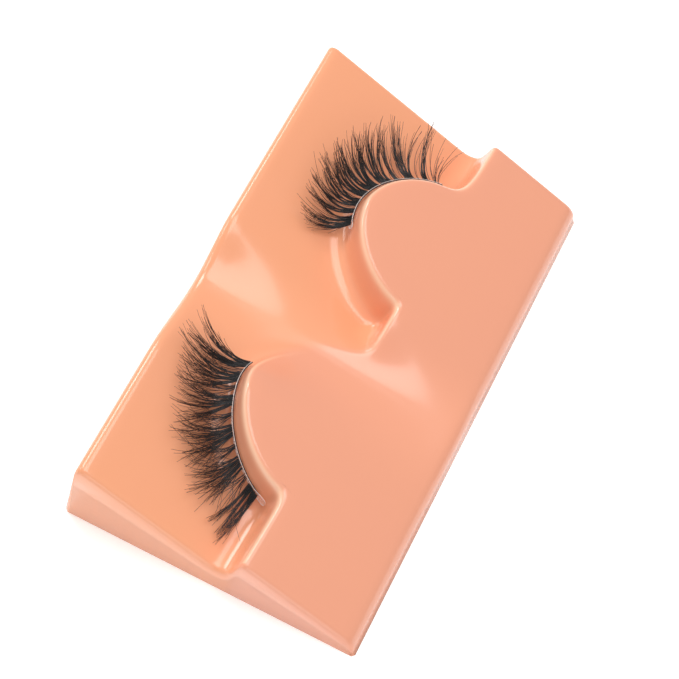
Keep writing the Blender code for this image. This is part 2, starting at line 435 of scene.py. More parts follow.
@dataclass
class Tray:
    """The formed sheet, remade smooth from the rule that its solid follows."""

    length: float = 0.062
    width: float = 0.112
    sheet: float = 0.0006
    draft: float = 0.0006
    step: float = 0.0096
    slope: float = 0.42
    land_slope: float = 0.16
    land_height: float = 0.0087
    riser: float = 0.0070
    slant: float = 0.04
    upper_fade: Span = (-0.005, 0.009)
    lower_fade: Span = (-0.006, -0.026)
    side_radius: float = 0.0011
    most_of_side: float = 0.45
    left_radius: float = 0.0022
    right_radius: float = 0.0024
    straight_columns: int = 16
    arch_columns: int = 110
    middle_columns: int = 30
    tread_lines: int = 16
    finish: FormedSheet = field(default_factory=FormedSheet)
    arches: dict[Row, Arch] = field(default_factory=lambda: {
        Row.LOWER: Arch(middle=-0.0201, half=0.0180, depth=0.0173),
        Row.UPPER: Arch(middle=0.0254, half=0.0151, depth=0.0158),
    })
    wall: tuple[Span, ...] = (
        (-0.0020, 0.0),
        (-0.0012, 0.0),
        (-0.0003, 0.03),
        (0.0003, 0.14),
        (0.0011, 0.50),
        (0.0019, 0.78),
        (0.0030, 0.90),
        (0.0042, 0.965),
        (0.0054, 1.0),
        (0.0060, 1.0),
    )
    wall_lines: int = 30
    fine_reach: Span = (-0.0012, 0.0009)
    fine_lines: int = 15
    crisp_reach: int = 5
    crisp_passes: int = 12
    soft_reach: int = 14
    soft_passes: int = 70
    # Where and how wide the painted highlight along the crease lies.
    crease_offset: float = -0.0001
    crease_width: float = 0.0004

    def riser_x(self, y: float) -> float:
        """Where the straight riser's crease lies."""
        return self.riser + self.slant * y

    def terrace(self, y: float) -> float:
        """How much of the full step the treads have at this place across the tray."""
        return max(smooth_step(*self.upper_fade, y), smooth_step(*self.lower_fade, y))

    def tread(self, x: float, y: float, side: int) -> float:
        """Height of a tread at a place in plan.

        Args:
            x: Metres across the riser.
            y: Metres along the riser.
            side: 1 for the upper tread, -1 for the lower one.

        Returns:
            The height in metres.
        """
        share = self.terrace(y)
        slope = mixed(self.land_slope, self.slope, share)
        return self.land_height + share * side * self.step / 2 - slope * (x - self.riser_x(y))

    def wall_height(self, x: float, y: float, drop: float) -> float:
        """Height between the treads, at a share of the drop from the upper one."""
        return mixed(self.tread(x, y, 1), self.tread(x, y, -1), drop)

    def wall_offset(self, drop: float) -> float:
        """Plan offset out of the crease at which the riser wall has dropped by this share."""
        offsets, drops = zip(*self.wall[1:-1])
        return float(np.interp(drop, drops, offsets))

    def wall_drop(self, offset: float) -> float:
        """Read a smooth curve through the wall's profile.

        Args:
            offset: Plan offset in metres.

        Returns:
            The share of the drop there.
        """
        reach = mixed(0.0005, 0.0011, smooth_step(0.0012, 0.0040, offset))
        offsets, drops = zip(*self.wall)
        shifts = (-1, -0.5, 0, 0.5, 1)
        near = [np.interp(offset + shift * reach, offsets, drops) for shift in shifts]
        return float(np.dot(near, (1, 2, 2, 2, 1)) / 8)

    def arch_point(self, row: Row, degrees: float, offset: float = 0.0) -> tuple[Vector, Vector]:
        """A plan point of an arch's crease, moved out, and its outward direction.

        Args:
            row: Whose arch it is.
            degrees: Where on the arch, 0 at its top and 90 at its far end.
            offset: How far the point is moved out, in metres.

        Returns:
            The plan point and the plan unit vector that points out of the arch.
        """
        arch = self.arches[row]
        angle = math.radians(degrees)
        power = 2 / arch.roundness
        out = math.cos(angle) ** power
        along = math.copysign(abs(math.sin(angle)) ** power, angle)
        y = arch.middle + arch.half * along
        crease = Vector((self.riser_x(y) - arch.depth * out, y))
        bend = arch.roundness - 1
        direction = Vector((
            -(out ** bend) / arch.depth,
            math.copysign(abs(along) ** bend, along) / arch.half,
        )).normalized()
        return crease + offset * direction, direction

    def ground(self, x: float, y: float) -> float:
        """Height of whatever tread lies under a hair."""
        mound = smooth_step(self.riser_x(y) - 0.003, self.riser_x(y), x)
        return self.wall_height(x, y, 1 - mound)

    def straight(self, point: np.ndarray, offset: float) -> np.ndarray:
        """The straight riser's x at each of these plan points, moved out by offset."""
        return self.riser + self.slant * point[..., 1] - offset

    def arch_line(self, row: Row, offset: float) -> np.ndarray:
        """The stretch of an arch's offset outline that lies outside the straight riser's.

        Args:
            row: Whose arch it is.
            offset: How far out of the crease, in metres.

        Returns:
            An array of x and y, which starts and ends on the straight riser's line.
        """
        outline = np.array(
            [self.arch_point(row, quarter / 4, offset)[0] for quarter in range(-358, 359)]
        )
        kept = outline[outline[:, 0] < self.straight(outline, offset)]
        ends = kept[[0, -1]].copy()
        ends[:, 0] = self.straight(ends, offset)
        return np.vstack([ends[:1], kept, ends[1:]])

    @staticmethod
    def resampled(points: np.ndarray, count: int) -> np.ndarray:
        """Points at even steps along a plan line, both ends among them.

        Args:
            points: The line, one point a row.
            count: The number of steps.

        Returns:
            The new points, one more than the steps.
        """
        steps = np.linalg.norm(np.diff(points, axis=0), axis=1)
        lengths = np.concatenate([[0], np.cumsum(steps)])
        wanted = np.linspace(0, lengths[-1], count + 1)
        return np.stack([np.interp(wanted, lengths, points[:, axis]) for axis in (0, 1)], axis=1)

    def riser_line(self, offset: float) -> np.ndarray:
        """Plan points of the whole riser at an offset, from the near edge to the far one.

        Args:
            offset: How far out of the crease, in metres.

        Returns:
            An array of x and y, the corners between arch and straight softened.
        """
        inner = self.width / 2 - self.draft - self.side_radius
        edges = np.array([[0, -inner], [0, inner]])
        edges[:, 0] = self.straight(edges, offset)
        lower, upper = (self.arch_line(row, offset) for row in (Row.LOWER, Row.UPPER))
        stretches = (
            self.resampled(np.vstack([edges[:1], lower[:1]]), self.straight_columns),
            self.resampled(lower, self.arch_columns),
            self.resampled(np.vstack([lower[-1:], upper[:1]]), self.middle_columns),
            self.resampled(upper, self.arch_columns),
            self.resampled(np.vstack([upper[-1:], edges[1:]]), self.straight_columns),
        )
        line = np.vstack([stretch[:-1] for stretch in stretches] + [edges[1:]])
        near_lower = self.straight_columns
        far_lower = near_lower + self.arch_columns
        near_upper = far_lower + self.middle_columns
        far_upper = near_upper + self.arch_columns
        for corner, reach, passes in (
            (near_lower, self.crisp_reach, self.crisp_passes),
            (near_upper, self.crisp_reach, self.crisp_passes),
            (far_lower, self.soft_reach, self.soft_passes),
            (far_upper, min(self.soft_reach, self.straight_columns - 1), self.soft_passes),
        ):
            first, last = corner - reach, corner + reach
            for _ in range(passes):
                line[first:last] = (
                    line[first - 1:last - 1] + 2 * line[first:last] + line[first + 1:last + 1]
                ) / 4
        return line

    def offsets(self) -> list[float]:
        """Plan offsets of the riser's lines, close together at the crease.

        Returns:
            The offsets in metres, from the foot to the crown.
        """
        fine = np.linspace(*self.fine_reach, self.fine_lines)
        wide = np.linspace(self.fine_reach[1] + 0.0001, self.wall[-1][0], self.wall_lines)
        return [float(offset) for offset in reversed(np.concatenate([fine, wide]))]

    def lines(self) -> list[list[SheetPoint]]:
        """Every line of the sheet's top, from the left end's foot to the right end's.

        Returns:
            Lines of points: x, y, z, how near the crease (0 to 1) and how high on the wall.
        """
        left, right = -self.length / 2 + self.draft, self.length / 2 - self.draft
        offsets = self.offsets()
        walls = [self.riser_line(offset) for offset in offsets]
        foot, crown = walls[0], walls[-1]
        inner = self.width / 2 - self.draft - self.side_radius
        evens = np.linspace(-inner, inner, len(foot))

        def across(x: float, line: np.ndarray, share: float, side: int,
                   inset: float = 0.0) -> list[SheetPoint]:
            """A line between a tray end and one side of the riser.

            Args:
                x: The tray end's x.
                line: That side of the riser, one plan point a row.
                share: How far the line is from the end to the riser.
                side: 1 for the upper tread, -1 for the lower one.
                inset: How far the line is dropped.

            Returns:
                The line's points.
            """
            ends = np.stack([np.full(len(line), x), 0.5 * (evens + line[:, 1])], axis=1)
            places = ends + (line - ends) * share
            high = float(side > 0)
            return [(px, py, self.tread(px, py, side) - inset, 0.0, high) for px, py in places]

        def rim(x: float, turn: int, radius: float, line: np.ndarray, side: int,
                angle: float) -> list[SheetPoint]:
            """A line of the rounded edge over a tray end, at an angle from the top."""
            inset, drop = radius * (1 - math.sin(angle)), radius * (1 - math.cos(angle))
            return across(x - turn * inset, line, 0, side, drop)

        quarter = [math.radians(degrees) for degrees in range(0, 91, 15)]
        foot_y, crown_y = 0.5 * (evens + foot[:, 1]), 0.5 * (evens + crown[:, 1])
        lines = [[(left - self.draft, y, 0.0, 0.0, 0.0) for y in foot_y]]
        lines += [rim(left, -1, self.left_radius, foot, -1, angle) for angle in reversed(quarter)]
        for step in range(1, self.tread_lines):
            lines.append(across(left + self.left_radius, foot, step / self.tread_lines, -1))
        for offset, wall in zip(offsets, walls):
            drop = self.wall_drop(offset)
            # The crease mask, for the highlight that the finish paints along it.
            near = math.exp(-((offset - self.crease_offset) / self.crease_width) ** 2)
            lines.append([
                (x, y, self.wall_height(x, y, drop), near * self.terrace(y), 1 - drop)
                for x, y in wall
            ])
        for step in range(self.tread_lines - 1, 0, -1):
            lines.append(across(right - self.right_radius, crown, step / self.tread_lines, 1))
        lines += [rim(right, 1, self.right_radius, crown, 1, angle) for angle in quarter]
        lines.append([(right + self.draft, y, 0.0, 0.0, 1.0) for y in crown_y])
        return lines

    def with_sides(self, line: list[SheetPoint], is_foot: bool) -> list[SheetPoint]:
        """Carry a line over both long edges of the tray and down to its base.

        Args:
            line: The line, from one long edge to the other.
            is_foot: Whether it lies on the base, where it turns the tray's corners.

        Returns:
            The line with both sides added.
        """
        edge = self.width / 2 - self.draft
        result = list(line)
        for turn, place in ((-1, 0), (1, -1)):
            x, _, z, _, high = line[place]
            rim = []
            for degrees in range(15, 91, 15):
                angle = math.radians(degrees)
                inset, drop = 1 - math.sin(angle), 1 - math.cos(angle)
                fall = drop * min(self.side_radius, self.most_of_side * z)
                height = 0.0 if is_foot else z - fall
                rim.append((x, turn * (edge - inset * self.side_radius), height, 0.0, high))
            if is_foot:
                x -= math.copysign(self.draft / 2, x)
            spread = self.draft / 2 if is_foot else self.draft
            rim.append((x, turn * (edge + spread), 0.0, 0.0, high))
            result = list(reversed(rim)) + result if turn < 0 else result + rim
        return result

    def build(self) -> Piece:
        """Form the sheet, give it its thickness and put it in the scene.

        Returns:
            The piece that stands for the tray.
        """
        lines = self.lines()
        grid = [self.with_sides(line, n in (0, len(lines) - 1)) for n, line in enumerate(lines)]
        columns = len(grid[0])
        points = [point for line in grid for point in line]
        faces = [
            (r * columns + c, (r + 1) * columns + c, (r + 1) * columns + c + 1, r * columns + c + 1)
            for r in range(len(grid) - 1)
            for c in range(columns - 1)
        ]
        mesh = bpy.data.meshes.new("tray_form")
        mesh.from_pydata([point[:3] for point in points], [], faces)
        # The masks of the painted crease highlight and of the painted light in the low treads.
        for name, place in (("crease", 3), ("tread", 4)):
            mesh.attributes.new(name, "FLOAT", "POINT").data.foreach_set(
                "value", [point[place] for point in points]
            )
        blank = bpy.data.objects.new("tray_form", mesh)
        bpy.context.scene.collection.objects.link(blank)
        thick = blank.modifiers.new("sheet", "SOLIDIFY")
        thick.thickness = self.sheet
        thick.offset = -1
        formed = bpy.data.meshes.new_from_object(
            blank.evaluated_get(bpy.context.evaluated_depsgraph_get())
        )
        bpy.data.objects.remove(blank, do_unlink=True)
        for vertex in formed.vertices:
            outer = Vector(points[vertex.index % len(points)][:3])
            if vertex.co.z < self.sheet / 2 < (vertex.co - outer).length:
                vertex.co.z = 0
        piece = finished_mesh("tray_sheet", formed, self.finish.build())
        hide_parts("tray")
        return piece


# The lash strips


@dataclass(frozen=True)
class Cluster:
    """One bunch of hairs knotted at one place of the band.

    The place and width are shares of the way along the band, and the length, lift and loose are
    metres. Droop, sweep and fan are degrees: the bunch's turn at its root and at its tips, and
    how far it opens.
    """

    place: float
    width: float
    length: float
    sweep: float
    fan: float
    lift: float
    tufts: int
    hairs: int
    loose: float
    stray: float = 1.0
    droop: float = -20.0


@dataclass
class Strip:
    """One lash strip: its band, root thread, knots and hair, along its arch's wall."""

    row: Row
    tray: Tray
    start: float
    fringe_start: float
    end: float
    drop: Span
    clusters: tuple[Cluster, ...]
    seed: int
    seat: float = 0.00045
    band_depth: float = 0.0004
    band_height: float = 0.0009
    film: float = 0.00016
    tail_height: float = 0.0013
    columns: int = 120
    section_step: int = 30
    lean: Span = (0.10, 0.60)
    guide_points: int = 14

    @property
    def tail(self) -> float:
        """Share of the band that is left clear of hair."""
        return (self.fringe_start - self.start) / (self.end - self.start)

    def place(self, along: float, out: float) -> tuple[Vector, Vector]:
        """A point of the strip, and the direction out of the wall there.

        Args:
            along: The point's share of the way along the band.
            out: How far it is out from the wall, in metres.

        Returns:
            The point and the plan unit vector.
        """
        degrees = mixed(self.start, self.end, along)
        drop = mixed(*self.drop, along)
        wall, direction = self.tray.arch_point(self.row, degrees, self.tray.wall_offset(drop))
        plan = wall + out * direction
        return Vector((plan.x, plan.y, self.tray.wall_height(wall.x, wall.y, drop))), direction

    def film_section(self, along: float) -> list[Vector]:
        """The band's rounded section at one place, leaning with the wall at the tail.

        Args:
            along: The section's share of the way along the band.

        Returns:
            The points round the section, from its top.
        """
        middle, direction = self.place(along, self.seat + self.band_depth / 2)
        tail = 1 - smooth_step(self.tail * 0.5, self.tail * 1.6, along)
        height = mixed(self.band_height, self.tail_height, tail)
        end = min(along, 1 - along) * self.run_length()
        height *= math.sqrt(max(0.02, 1 - max(0.0, 1 - end / (height / 2)) ** 2))
        lean = mixed(*self.lean, tail)
        up = Vector((-direction.x * lean, -direction.y * lean, 1)).normalized()
        out = Vector((direction.x, direction.y, lean)).normalized()
        section = []
        for degrees in range(0, 360, self.section_step):
            angle = math.radians(degrees)
            flat = math.copysign(abs(math.cos(angle)) ** 0.5, math.cos(angle))
            section.append(middle + up * flat * height / 2 + out * math.sin(angle) * self.film / 2)
        return section

    def run_length(self) -> float:
        """The band's length from end to end."""
        points = [self.place(step / 40, self.seat)[0] for step in range(41)]
        return sum((after - before).length for before, after in zip(points, points[1:]))

    def band(self, finish: ClearBand) -> Piece:
        """Build the clear film of the band, with rounded ends.

        Args:
            finish: The film's finish.

        Returns:
            The piece that stands for the band.
        """
        mesh = bmesh.new()
        shares = [
            0.5 - 0.5 * math.cos(math.pi * step / self.columns) for step in range(self.columns + 1)
        ]
        rings = [[mesh.verts.new(point) for point in self.film_section(share)] for share in shares]
        count = len(rings[0])
        for before, after in zip(rings, rings[1:]):
            for side in range(count):
                corner = (side + 1) % count
                mesh.faces.new((before[side], before[corner], after[corner], after[side]))
        mesh.faces.new(rings[0])
        mesh.faces.new(list(reversed(rings[-1])))
        bmesh.ops.recalc_face_normals(mesh, faces=mesh.faces)
        film = bpy.data.meshes.new(f"{self.row.value}_film")
        mesh.to_mesh(film)
        mesh.free()
        # The mask of the painted highlight along the film's top and bottom edges.
        edge = [
            abs(math.cos(2 * math.pi * (n % count) / count)) ** 6 for n in range(len(film.vertices))
        ]
        film.attributes.new("edge", "FLOAT", "POINT").data.foreach_set("value", edge)
        piece = finished_mesh(f"{self.row.value}_clear_band", film, finish.build())
        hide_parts(f"{self.row.value}_band")
        return piece

    def thread_path(self) -> "GuideMesh":
        """Lay out the band's middle line for the thread, with the directions up and out of it.

        Returns:
            A mesh with this one guide.
        """
        count = 200
        path = GuideMesh(count)
        points = []
        for step in range(count):
            along = mixed(self.tail * 0.9, 0.997, step / (count - 1))
            place, direction = self.place(along, self.seat + self.band_depth / 2)
            points.append((place, Vector((direction.x, direction.y, 0)), Vector((0, 0, 1))))
        path.add(points, 1, 0.0, 0.0, 0.0)
        return path

    def guides(self) -> "GuideMesh":
        """Lay out one guide for each tuft of hair, over the ground below it.

        Returns:
            The guides, ready for the hair tree.
        """
        luck = np.random.default_rng(self.seed)
        guides = GuideMesh(self.guide_points)
        run = self.run_length()
        for cluster in self.clusters:
            for tuft in range(cluster.tufts):
                share = (tuft + 0.5) / cluster.tufts - 0.5
                where = cluster.place + share * cluster.width + luck.uniform(-0.004, 0.004)
                where = min(0.995, max(self.tail, where))
                sweep = cluster.sweep + cluster.fan * share + luck.normal(0, 4)
                length = cluster.length * luck.uniform(0.80, 1.08)
                lift = cluster.lift * luck.uniform(0.75, 1.15)
                turns = (cluster.droop + 0.4 * cluster.fan * share, sweep)
                points = [
                    self.hair_point(where, step / (self.guide_points - 1), length, turns, lift)
                    for step in range(self.guide_points)
                ]
                width = cluster.width * run / cluster.tufts * 1.25
                hairs = cluster.hairs // cluster.tufts
                guides.add(points, hairs, width, cluster.loose, cluster.stray)
        return guides

    def hair_point(self, along: float, share: float, length: float, turns: tuple[float, float],
                   lift: float) -> tuple[Vector, Vector, Vector]:
        """A point of a tuft's course, with the directions across it and up from the ground.

        Args:
            along: The root's share of the way along the band.
            share: The point's share of the tuft's length.
            length: The tuft's plan length.
            turns: How many degrees it has turned at its root and at its tip.
            lift: The tip's height over the ground.

        Returns:
            The point, the unit vector across the tuft, and the unit vector up.
        """
        root, direction = self.place(along, self.seat + self.band_depth * 0.7)
        turn = math.radians(mixed(*turns, share ** 0.9))
        heading = Vector((
            direction.x * math.cos(turn) + direction.y * math.sin(turn),
            direction.y * math.cos(turn) - direction.x * math.sin(turn),
        ))
        plan = root.xy + heading * length * share
        above_root = root.z - self.tray.ground(root.x, root.y)
        height = above_root * (1 - share) ** 2 + lift * share ** 1.4
        aside = Vector((heading.y, -heading.x))
        step = 0.0005
        rise = self.tray.ground(*(plan + aside * step)) - self.tray.ground(*(plan - aside * step))
        across = Vector((aside.x, aside.y, rise / (2 * step))).normalized()
        forward = Vector((heading.x, heading.y, 0.0))
        up = forward.cross(across).normalized()
        if up.z < 0:
            up.negate()
        return Vector((plan.x, plan.y, self.tray.ground(plan.x, plan.y) + height)), across, up


class GuideMesh:
    """Guide lines for hair, one open chain of edges each, with what the hair tree reads."""

    def __init__(self, count: int) -> None:
        """Start with no guides.

        Args:
            count: Points on each guide.
        """
        self.count = count
        self.places: list[Vector] = []
        self.across: list[Vector] = []
        self.up: list[Vector] = []
        self.numbers: dict[str, list[float]] = {
            "hairs": [], "root_width": [], "loose": [], "stray": [],
        }

    def add(self, points: list[tuple[Vector, Vector, Vector]], hairs: int, width: float,
            loose: float, stray: float) -> None:
        """Add a guide.

        Args:
            points: Place, direction across and direction up of each point.
            hairs: How many hairs follow it.
            width: Width at the root, in metres.
            loose: Looseness of the tips.
            stray: Share of strays.
        """
        for place, across, up in points:
            self.places.append(place)
            self.across.append(across)
            self.up.append(up)
            for name, value in zip(self.numbers, (hairs, width, loose, stray)):
                self.numbers[name].append(value)

    def to_object(self, name: str) -> Piece:
        """Make the guides an object that a Geometry Nodes modifier can work on.

        Args:
            name: The object's name.

        Returns:
            The object, a mesh of edges.
        """
        mesh = bpy.data.meshes.new(name)
        edges = [
            (index, index + 1) for index in range(len(self.places) - 1) if (index + 1) % self.count
        ]
        mesh.from_pydata(self.places, edges, [])
        for label, vectors in (("across", self.across), ("up", self.up)):
            layer = mesh.attributes.new(label, "FLOAT_VECTOR", "POINT")
            layer.data.foreach_set("vector", [part for vector in vectors for part in vector])
        for label, values in self.numbers.items():
            layer = mesh.attributes.new(label, "FLOAT", "POINT")
            layer.data.foreach_set("value", values)
        made = bpy.data.objects.new(name, mesh)
        bpy.context.scene.collection.objects.link(made)
        return made


# What Geometry Nodes grow on guide lines


class GrowthTree:
    """A Geometry Nodes tree with named sizes, which turns guide lines into a plain mesh."""

    def __init__(self, name: str, sizes: dict[str, float]) -> None:
        """Start a tree that takes guides, sizes, a seed and a finish.

        Args:
            name: The tree's name.
            sizes: The sizes that it takes, by label.
        """
        self.tree = bpy.data.node_groups.new(name, "GeometryNodeTree")
        self.sheet = NodeSheet(self.tree)
        self.keys: dict[str, str] = {}
        self.declare("Guides", "NodeSocketGeometry", None)
        for label, value in sizes.items():
            self.declare(label, "NodeSocketFloat", value)
        self.declare("Seed", "NodeSocketInt", 1)
        self.declare("Finish", "NodeSocketMaterial", None)
        self.tree.interface.new_socket(
            name="Grown", in_out="OUTPUT", socket_type="NodeSocketGeometry"
        )
        self.given = self.sheet.add("NodeGroupInput")
        self.result = self.sheet.add("NodeGroupOutput")

    def declare(self, label: str, kind: str, value: float | None) -> None:
        """Give the tree a named input.

        Args:
            label: Its name.
            kind: Blender's name of its socket type.
            value: Its first value, or None.
        """
        socket = self.tree.interface.new_socket(name=label, in_out="INPUT", socket_type=kind)
        if value is not None:
            socket.default_value = value
        self.keys[label] = socket.identifier

    def size(self, label: str) -> Socket:
        """The value of a named input inside the tree."""
        return self.given.outputs[label]

    def node(self, kind: str, /, inputs: dict[str, object] | None = None,
             **settings: object) -> Node:
        """Add a node and feed its inputs by name, of the sockets that are in use.

        Args:
            kind: Blender's name of the node.
            inputs: What each named input is fed, a socket or a plain value.
            settings: The node's own settings.

        Returns:
            The node.
        """
        made = self.sheet.add(kind, **settings)
        for label, value in (inputs or {}).items():
            target = next(s for s in made.inputs if s.name == label and s.enabled)
            self.sheet.feed(target, value)
        return made

    def made(self, kind: str, /, inputs: dict[str, object] | None = None,
             **settings: object) -> Socket:
        """Add a node like node(), for its first output."""
        return self.node(kind, inputs, **settings).outputs[0]

    def read(self, label: str, kind: str = "FLOAT") -> Socket:
        """Read a named attribute of the guides."""
        node = self.node("GeometryNodeInputNamedAttribute", {"Name": label}, data_type=kind)
        return next(s for s in node.outputs if s.name == "Attribute" and s.enabled)

    def luck(self, turn: int) -> Socket:
        """A random vector of each hair.

        Args:
            turn: Which draw it is, added to the tree's seed.

        Returns:
            The vector, from -1 to 1 on each axis.
        """
        index = self.made("GeometryNodeInputIndex")
        seed = self.sheet.math("ADD", self.size("Seed"), turn)
        node = self.node(
            "FunctionNodeRandomValue",
            {"Min": (-1, -1, -1), "Max": (1, 1, 1), "ID": index, "Seed": seed},
            data_type="FLOAT_VECTOR",
        )
        return node.outputs["Value"]

    def store(self, geometry: Socket, label: str, value: Socket,
              kind: str = "FLOAT", domain: str = "POINT") -> Socket:
        """Keep a value on the geometry under a name.

        Args:
            geometry: The geometry that carries it.
            label: The attribute's name.
            value: The value, evaluated where it is kept.
            kind: Blender's name of the value's type.
            domain: Blender's name of what each value belongs to.

        Returns:
            The geometry with the attribute.
        """
        node = self.node(
            "GeometryNodeStoreNamedAttribute",
            {"Geometry": geometry, "Name": label, "Value": value},
            data_type=kind,
            domain=domain,
        )
        return node.outputs["Geometry"]

    def tube(self, curve: Socket, radius: Socket, sides: int) -> Socket:
        """A closed tube along a curve.

        Args:
            curve: The curve.
            radius: The tube's radius, read at each point.
            sides: How many sides the tube has.

        Returns:
            The tube's mesh.
        """
        ring = self.made("GeometryNodeCurvePrimitiveCircle", {"Resolution": sides, "Radius": 1.0})
        return self.made(
            "GeometryNodeCurveToMesh",
            {"Curve": curve, "Profile Curve": ring, "Scale": radius, "Fill Caps": True},
        )

    def part(self, vector: Socket, axis: str) -> Socket:
        """One component of a vector."""
        return self.node("ShaderNodeSeparateXYZ", {"Vector": vector}).outputs[axis]

    def end(self, geometry: Socket) -> None:
        """Close the tree with plain geometry that has its finish.

        Args:
            geometry: What the tree grew.
        """
        real = self.made("GeometryNodeRealizeInstances", {"Geometry": geometry})
        dressed = self.made(
            "GeometryNodeSetMaterial", {"Geometry": real, "Material": self.size("Finish")}
        )
        self.sheet.join(dressed, self.result.inputs[0])

    def grow(self, guides: Piece, material: Material, name: str, seed: int) -> Piece:
        """Run the tree on guides and keep what it makes as a plain piece.

        Args:
            guides: The object whose mesh holds the guide lines, which is used up.
            material: The finish.
            name: The piece's name.
            seed: Seed of everything random in the tree.

        Returns:
            The new piece.
        """
        modifier = guides.modifiers.new("growth", "NODES")
        modifier.node_group = self.tree
        modifier[self.keys["Seed"]] = seed
        modifier[self.keys["Finish"]] = material
        graph = bpy.context.evaluated_depsgraph_get()
        mesh = bpy.data.meshes.new_from_object(guides.evaluated_get(graph))
        guides.modifiers.clear()
        bpy.data.objects.remove(guides, do_unlink=True)
        return finished_mesh(name, mesh, material)


class HairTree(GrowthTree):
    """Hairs along tuft guides: bunched near the root, loose and crossing at the tip."""

    POINTS = 13
    SIDES = 3

    def __init__(self) -> None:
        """Build the tree."""
        super().__init__("lash_hairs", {
            "Root Radius": 0.000064,
            "Tip Radius": 0.000033,
            "Taper": 1.3,
            "Thickness Range": 0.2,
            "Shortest": 0.45,
            "Short Rarity": 1.3,
            "Bunching": 0.66,
            "Bunched By": 0.55,
            "Root Rise": 0.00022,
            "Loosening": 1.5,
            "Loose Rise": 0.8,
            "Stray Reach": 0.0034,
            "Stray Bend": 2.2,
            "Stray Rarity": 2.6,
            "Stray Rise": 0.5,
            "Ripple": 0.00034,
            "Ripple Scale": 230.0,
            "Ripple Range": 0.004,
        })
        sheet = self.sheet
        hairs = self.drawn_hairs()
        first, second, third = (self.read(f"luck_{letter}", "FLOAT_VECTOR") for letter in "abc")
        even = self.cut_hairs(hairs, self.part(third, "X"))
        factor = self.node("GeometryNodeSplineParameter").outputs["Factor"]
        marked = self.store(even, "along", factor)
        along = self.read("along")
        loose = sheet.product(
            self.read("loose"), sheet.math("POWER", along, self.size("Loosening"))
        )
        wander = sheet.product(
            self.size("Stray Reach"), self.read("stray"),
            sheet.math("POWER", along, self.size("Stray Bend")),
        )
        moved = sheet.vector("SCALE", self.read("across", "FLOAT_VECTOR"),
                             scale=self.aside(along, first, loose, wander))
        raised = sheet.vector("SCALE", self.read("up", "FLOAT_VECTOR"),
                              scale=self.above(along, second, loose, wander))
        offset = sheet.vector("ADD", sheet.vector("ADD", moved, raised), self.ripple(along, third))
        placed = self.made("GeometryNodeSetPosition", {"Geometry": marked, "Offset": offset})
        self.end(self.tube(placed, self.thickness(along, self.part(third, "Y")), self.SIDES))

    def drawn_hairs(self) -> Socket:
        """As many curves on each guide as it has hairs, each with three random vectors.

        Returns:
            The curves.
        """
        curves = self.made("GeometryNodeMeshToCurve", {"Mesh": self.size("Guides")})
        hairs = self.node(
            "GeometryNodeDuplicateElements",
            {"Geometry": curves, "Amount": self.read("hairs")},
            domain="SPLINE",
        ).outputs["Geometry"]
        for turn, letter in enumerate("abc", start=1):
            hairs = self.store(hairs, f"luck_{letter}", self.luck(turn), "FLOAT_VECTOR", "CURVE")
        return hairs

    def cut_hairs(self, hairs: Socket, luck: Socket) -> Socket:
        """Cut the hairs to their own lengths, most of them long, with points at even steps.

        Args:
            hairs: The curves.
            luck: A random number for each hair.

        Returns:
            The cut curves.
        """
        sheet = self.sheet
        chance = sheet.math("POWER", sheet.math("ABSOLUTE", luck), self.size("Short Rarity"))
        cut = sheet.product(sheet.math("SUBTRACT", 1.0, self.size("Shortest")), chance)
        trimmed = self.made(
            "GeometryNodeTrimCurve",
            {"Curve": hairs, "End": sheet.math("SUBTRACT", 1.0, cut)},
            mode="FACTOR",
        )
        return self.made(
            "GeometryNodeResampleCurve", {"Curve": trimmed, "Count": self.POINTS}, mode="COUNT"
        )

    def aside(self, along: Socket, luck: Socket, loose: Socket, wander: Socket) -> Socket:
        """How far a point of a hair lies to the side of its guide.

        Args:
            along: The point's share of the hair.
            luck: The hair's random vector for this.
            loose: How far a loose hair may be off its guide here.
            wander: How far a stray hair may be off its guide here.

        Returns:
            The distance, in metres.
        """
        sheet = self.sheet
        gather = self.node(
            "ShaderNodeMapRange",
            {"Value": along, "From Max": self.size("Bunched By"), "To Max": self.size("Bunching")},
            interpolation_type="SMOOTHSTEP",
        ).outputs["Result"]
        spread = sheet.product(self.read("root_width"), sheet.math("SUBTRACT", 1.0, gather), 0.5)
        result = sheet.product(spread, self.part(luck, "X"))
        result = sheet.math("MULTIPLY_ADD", loose, self.part(luck, "Y"), result)
        side = self.part(luck, "Z")
        swing = sheet.product(self.rare(side), sheet.math("SIGN", side))
        return sheet.math("MULTIPLY_ADD", wander, swing, result)

    def above(self, along: Socket, luck: Socket, loose: Socket, wander: Socket) -> Socket:
        """How far a point of a hair lies above its guide.

        Args:
            along: The point's share of the hair.
            luck: The hair's random vector for this.
            loose: How far a loose hair may be off its guide here.
            wander: How far a stray hair may be off its guide here.

        Returns:
            The distance, in metres.
        """
        sheet = self.sheet
        result = sheet.product(
            self.part(luck, "X"), self.size("Root Rise"), sheet.math("SUBTRACT", 1.0, along)
        )
        lift = sheet.product(loose, self.size("Loose Rise"))
        result = sheet.math("MULTIPLY_ADD", lift, self.part(luck, "Y"), result)
        hop = sheet.product(wander, self.size("Stray Rise"))
        return sheet.math("MULTIPLY_ADD", hop, self.rare(self.part(luck, "Z")), result)

    def rare(self, luck: Socket) -> Socket:
        """A random number that is near 0 for most hairs and near 1 for a few.

        Args:
            luck: A random number for each hair.

        Returns:
            The rare number.
        """
        return self.sheet.math(
            "POWER", self.sheet.math("ABSOLUTE", luck), self.size("Stray Rarity")
        )

